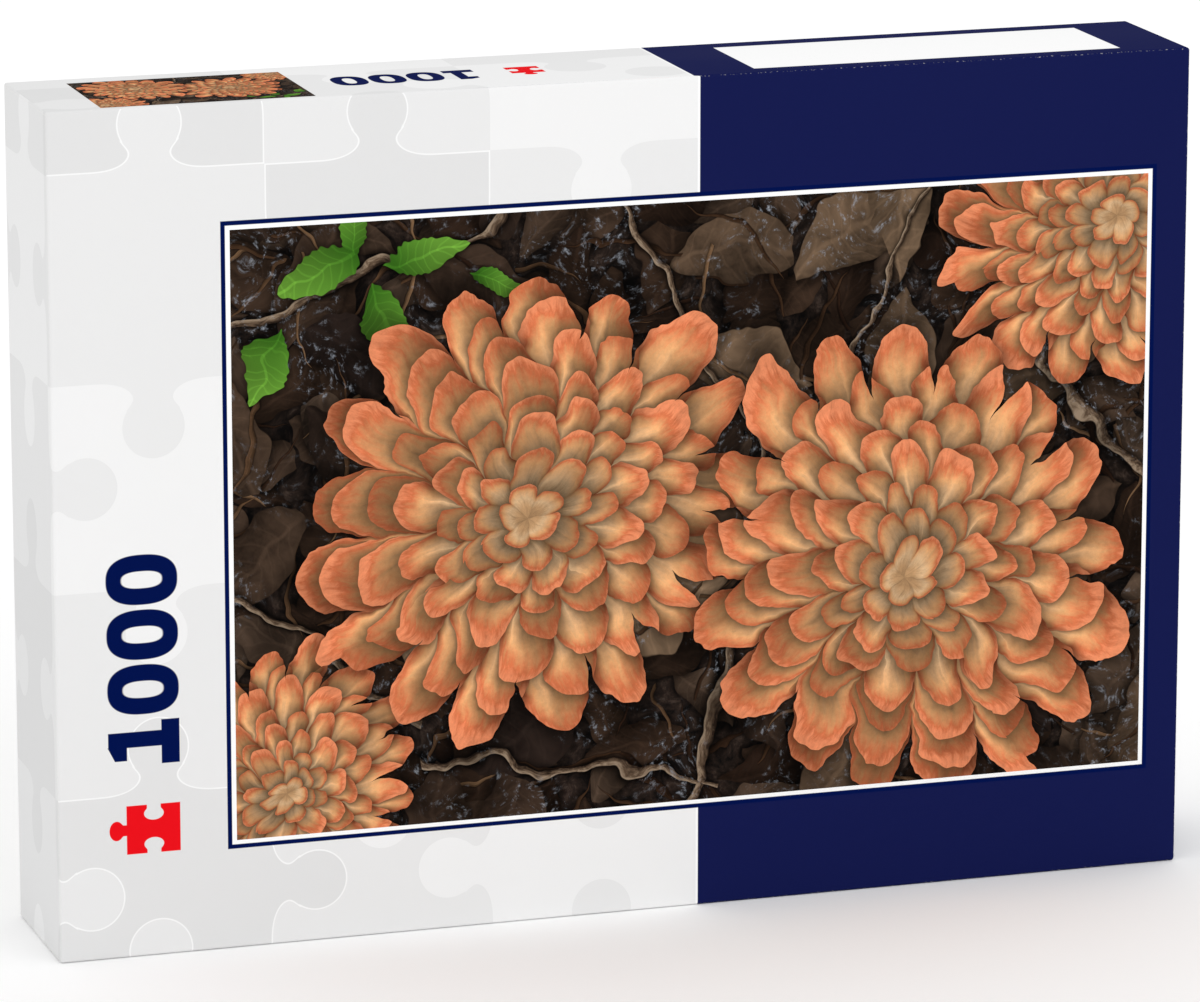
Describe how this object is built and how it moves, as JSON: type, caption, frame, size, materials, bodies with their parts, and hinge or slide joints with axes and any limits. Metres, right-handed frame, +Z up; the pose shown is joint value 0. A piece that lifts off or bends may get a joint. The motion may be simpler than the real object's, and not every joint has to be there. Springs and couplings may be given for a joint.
{
  "type": "boxed jigsaw puzzle",
  "caption": "Rigid cardboard box with a full-depth lift-off lid over a tray, holding a bag of loose jigsaw pieces and standing on its long side.",
  "frame": {"origin": "middle of the long side that the box stands on, half way through its depth", "axes": "+X along the box to the right as the lid's printed face is looked at, +Y from that face to the tray's bottom, +Z up"},
  "size_m": [0.375, 0.056, 0.27],
  "materials": {
    "printed_wrap": "satin coated art paper, printed pale grey and navy with a picture, glued over the board",
    "plain_wrap": "uncoated white paper, plain",
    "greyboard": "matte recycled greyboard with short fibres",
    "corner_tape": "gummed kraft tape",
    "bag_film": "thin clear film, slightly hazy and crumpled"
  },
  "bodies": {
    "root": {"lid_wrap": "printed_wrap", "lid_board_main": "greyboard", "lid_board_lower_side": "greyboard", "lid_board_upper_side": "greyboard", "lid_board_left_side": "greyboard", "lid_board_right_side": "greyboard", "lid_corner_stay_1": "corner_tape", "lid_corner_stay_2": "corner_tape", "lid_corner_stay_3": "corner_tape", "lid_corner_stay_4": "corner_tape", "tray_wrap": "plain_wrap", "tray_board_main": "greyboard", "tray_board_lower_side": "greyboard", "tray_board_upper_side": "greyboard", "tray_board_left_side": "greyboard", "tray_board_right_side": "greyboard", "tray_corner_stay_1": "corner_tape", "tray_corner_stay_2": "corner_tape", "tray_corner_stay_3": "corner_tape", "tray_corner_stay_4": "corner_tape", "piece_bag": "bag_film"}
  },
  "joints": []
}
